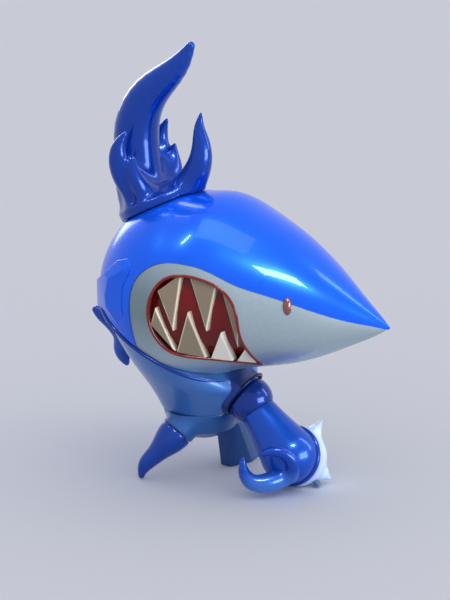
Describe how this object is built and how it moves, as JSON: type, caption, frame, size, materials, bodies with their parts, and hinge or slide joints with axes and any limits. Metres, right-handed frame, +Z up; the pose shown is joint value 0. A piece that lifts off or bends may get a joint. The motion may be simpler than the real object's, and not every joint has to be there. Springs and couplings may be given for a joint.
{
  "type": "vinyl toy figure",
  "caption": "Gloss vinyl art figure with a shark-like head and flame crest, jointed arms with fists, a tail and a foot; stands on tail, foot and fist.",
  "frame": {"origin": "centre of the bounding box's base, on the surface the figure stands on", "axes": "+Z up, +X towards the snout's tip, +Y towards the figure's own left"},
  "size_m": [0.1918, 0.12, 0.2268],
  "materials": {
    "blue_gloss": "metallic blue clear-coated paint",
    "deep_blue_gloss": "deeper metallic blue clear-coated paint",
    "silver_satin": "satin silver paint with fine grain",
    "gum_red": "gloss deep red paint",
    "tooth_pearl": "pearl beige paint",
    "copper_eye": "copper metallic paint",
    "glove_white": "pearl white fading to blue"
  },
  "bodies": {
    "torso": {"torso_shell": "blue_gloss", "belly_plate": "silver_satin"},
    "head": {"head_crown": "blue_gloss", "muzzle_shell": "silver_satin", "neck_plug": "blue_gloss", "mouth_liner_right": "gum_red", "mouth_liner_left": "gum_red", "upper_teeth_right": "tooth_pearl", "upper_teeth_left": "tooth_pearl", "lower_teeth_right": "tooth_pearl", "lower_teeth_left": "tooth_pearl", "eye_right": "copper_eye", "eye_left": "copper_eye"},
    "crest": {"flame_crest": "deep_blue_gloss"},
    "pelvis": {"pelvis_shell": "blue_gloss", "foot_block": "blue_gloss"},
    "tail": {"tail": "deep_blue_gloss"},
    "arm_right": {"shoulder_ball_right": "deep_blue_gloss", "sleeve_right": "blue_gloss", "cuff_ring_right": "deep_blue_gloss", "elbow_flame_right": "blue_gloss"},
    "hand_right": {"glove_right": "glove_white", "strap_tab_right": "blue_gloss"},
    "arm_left": {"shoulder_ball_left": "deep_blue_gloss", "sleeve_left": "blue_gloss", "cuff_ring_left": "deep_blue_gloss", "elbow_flame_left": "blue_gloss"},
    "hand_left": {"glove_left": "glove_white", "strap_tab_left": "blue_gloss"}
  },
  "joints": [
    {"name": "neck_swivel", "type": "hinge", "parent": "torso", "child": "head", "pos_m": [-0.02595, -0.00902, 0.07737], "axis": [0.5, 0, 0.866], "range_deg": [-35, 35]},
    {"name": "crest_swivel", "type": "hinge", "parent": "head", "child": "crest", "pos_m": [-0.01375, -0.00902, 0.0985], "axis": [-0.454, 0, 0.891], "range_deg": [-40, 40]},
    {"name": "waist_swivel", "type": "hinge", "parent": "torso", "child": "pelvis", "pos_m": [-0.0139, -0.00472, 0.0353], "axis": [0, 0, -1], "range_deg": [-20, 20]},
    {"name": "tail_swivel", "type": "hinge", "parent": "pelvis", "child": "tail", "pos_m": [-0.01812, -0.02402, 0.0246], "axis": [-0.4064, -0.5828, -0.7037], "range_deg": [-20, 20]},
    {"name": "right_shoulder_swivel", "type": "hinge", "parent": "torso", "child": "arm_right", "pos_m": [0.01117, -0.00815, 0.0465], "axis": [0.8139, 0.0309, -0.5802], "range_deg": [-20, 45]},
    {"name": "left_shoulder_swivel", "type": "hinge", "parent": "torso", "child": "arm_left", "pos_m": [-0.04377, 0.0084, 0.0576], "axis": [-0.8352, 0.5407, -0.1], "range_deg": [-60, 60]},
    {"name": "right_wrist_swivel", "type": "hinge", "parent": "arm_right", "child": "hand_right", "pos_m": [0.04038, -0.00975, 0.0175], "axis": [0.016, 0.9281, -0.3719], "range_deg": [-90, 90]},
    {"name": "left_wrist_swivel", "type": "hinge", "parent": "arm_left", "child": "hand_left", "pos_m": [-0.07239, 0.03657, 0.0533], "axis": [0.3198, 0.81, -0.4915], "range_deg": [-90, 90]}
  ]
}
